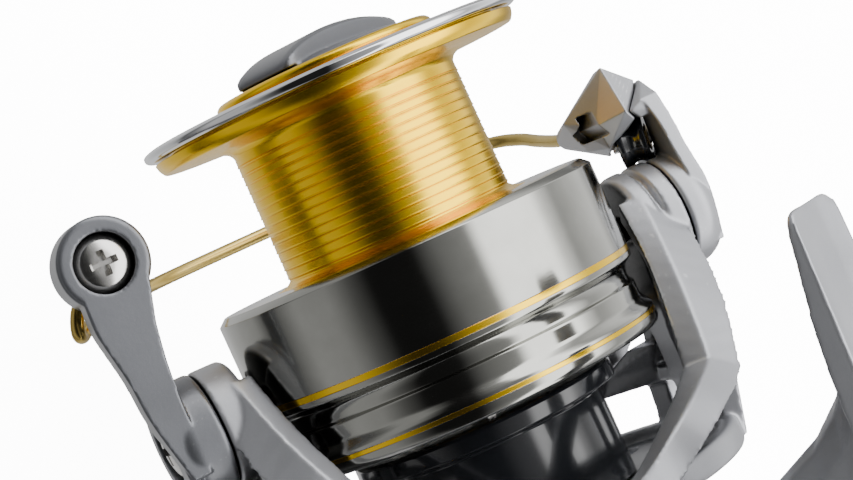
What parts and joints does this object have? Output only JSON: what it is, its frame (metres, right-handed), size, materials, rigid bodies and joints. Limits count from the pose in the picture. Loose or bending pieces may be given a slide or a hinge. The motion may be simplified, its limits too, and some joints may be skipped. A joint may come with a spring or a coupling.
{
  "type": "spinning reel",
  "caption": "Front-drag spinning reel with a grooved spool, two-arm rotor, folding bail wire, folding crank and a curved foot for a rod seat.",
  "frame": {"origin": "centre of the foot's rod-side face", "axes": "+Z out of the foot's rod-side face towards the rod, +X forward along the spool axis, +Y to the angler's left"},
  "size_m": [0.1804, 0.1381, 0.1235],
  "materials": {
    "silver_paint": "satin metallic silver paint",
    "grey_paint": "satin dark grey metallic paint",
    "gold": "gold anodised",
    "chrome": "polished",
    "steel": "turned",
    "bronze_wire": "gold-bronze plated wire",
    "brass": "machined",
    "black_plastic": "gloss black",
    "rubber": "soft-touch",
    "felt": "oiled felt"
  },
  "bodies": {
    "frame": {"housing": "silver_paint", "side_cover": "silver_paint", "cover_screw_1": "steel", "cover_screw_2": "steel", "cover_screw_3": "steel", "clutch_cover": "black_plastic", "one_way_clutch": "steel", "front_bearing": "steel", "rear_pinion_bush": "brass", "drive_bearing_left": "steel", "drive_bearing_right": "steel", "guide_rod": "steel", "trip_ramp": "rubber", "dust_cap": "grey_paint", "rear_cap": "grey_paint", "tension_spring": "steel"},
    "crank": {"drive_gear": "brass", "handle_shank": "steel", "hinge_pin": "steel"},
    "folding_arm": {"handle_arm": "silver_paint", "grip_post": "steel"},
    "handle_grip": {"grip": "rubber", "grip_cap": "steel"},
    "rotor_body": {"rotor": "silver_paint", "arm_cover_left": "silver_paint", "arm_cover_right": "silver_paint", "rotor_collar": "black_plastic", "rotor_nut": "steel", "spring_guide": "steel", "bail_spring": "steel", "hub_bolt_left": "steel", "hub_bolt_right": "steel", "pinion_gear": "brass"},
    "trip": {"trip_lever": "steel"},
    "bail": {"bail_holder": "grey_paint", "wire_screw": "steel", "roller_bush": "brass", "roller_screw": "steel", "wire_cone": "silver_paint", "bail_arm": "silver_paint", "bail_wire": "bronze_wire"},
    "roller": {"line_roller": "black_plastic"},
    "oscillator": {"oscillation_gear": "brass"},
    "shaft": {"main_shaft": "steel", "oscillation_slider": "steel", "knob_nut": "brass"},
    "spool_body": {"spool": "gold", "lip_ring": "chrome", "felt_washer_rear": "felt", "keyed_washer": "steel", "felt_washer_front": "felt", "eared_washer": "steel", "retaining_clip": "steel", "click_gear": "steel"},
    "knob": {"drag_knob": "grey_paint", "knob_trim_ring": "gold", "knob_spring": "steel"},
    "rear_knob": {"tension_knob": "grey_paint"},
    "free_spool": {"free_spool_lever": "grey_paint"},
    "anti_reverse": {"anti_reverse_lever": "grey_paint"}
  },
  "joints": [
    {"name": "handle_turn", "type": "hinge", "parent": "frame", "child": "crank", "pos_m": [-0.032, 0, -0.08], "axis": [0, 1, 0], "continuous": true},
    {"name": "handle_fold", "type": "hinge", "parent": "crank", "child": "folding_arm", "pos_m": [-0.032, 0.042, -0.08], "axis": [0.4226, 0, -0.9063], "range_deg": [0, 90]},
    {"name": "grip_spin", "type": "hinge", "parent": "folding_arm", "child": "handle_grip", "pos_m": [-0.08185, 0.06, -0.10324], "axis": [0, 1, 0], "continuous": true},
    {"name": "rotor_spin", "type": "hinge", "parent": "frame", "child": "rotor_body", "pos_m": [0.039, 0, -0.068], "axis": [1, 0, 0], "continuous": true},
    {"name": "trip_slide", "type": "slide", "parent": "rotor_body", "child": "trip", "axis": [0, 0.829, -0.5592], "range_m": [0, 0.0025]},
    {"name": "bail_flip", "type": "hinge", "parent": "rotor_body", "child": "bail", "pos_m": [0.039, 0, -0.068], "axis": [0, -0.829, 0.5592], "range_deg": [0, 102]},
    {"name": "roller_spin", "type": "hinge", "parent": "bail", "child": "roller", "pos_m": [0.0518, -0.03671, -0.04517], "axis": [0.1, 0.4335, -0.8956], "continuous": true},
    {"name": "oscillation_turn", "type": "hinge", "parent": "frame", "child": "oscillator", "pos_m": [-0.043, 0, -0.065], "axis": [0, 1, 0], "continuous": true},
    {"name": "spool_stroke", "type": "slide", "parent": "frame", "child": "shaft", "axis": [1, 0, 0], "range_m": [-0.019, 0]},
    {"name": "drag_slip", "type": "hinge", "parent": "shaft", "child": "spool_body", "pos_m": [0.061, 0, -0.068], "axis": [1, 0, 0], "continuous": true},
    {"name": "knob_turn", "type": "hinge", "parent": "shaft", "child": "knob", "pos_m": [0.081, 0, -0.068], "axis": [1, 0, 0], "range_deg": [-360, 360]},
    {"name": "rear_knob_turn", "type": "hinge", "parent": "frame", "child": "rear_knob", "pos_m": [-0.074, 0, -0.066], "axis": [1, 0, 0], "range_deg": [-270, 270]},
    {"name": "free_spool_flip", "type": "hinge", "parent": "frame", "child": "free_spool", "pos_m": [-0.055, 0.016, -0.059], "axis": [0, 1, 0], "range_deg": [0, 32]},
    {"name": "anti_reverse_flip", "type": "hinge", "parent": "frame", "child": "anti_reverse", "pos_m": [-0.0495, 0.016, -0.082], "axis": [0, 1, 0], "range_deg": [-30, 0]}
  ],
  "couplings": [
    {"joint": "rotor_spin", "follows": "handle_turn", "ratio": 4.5},
    {"joint": "oscillation_turn", "follows": "handle_turn", "ratio": -0.58823},
    {"joint": "trip_slide", "follows": "bail_flip", "m_per_rad": 0.001348}
  ]
}
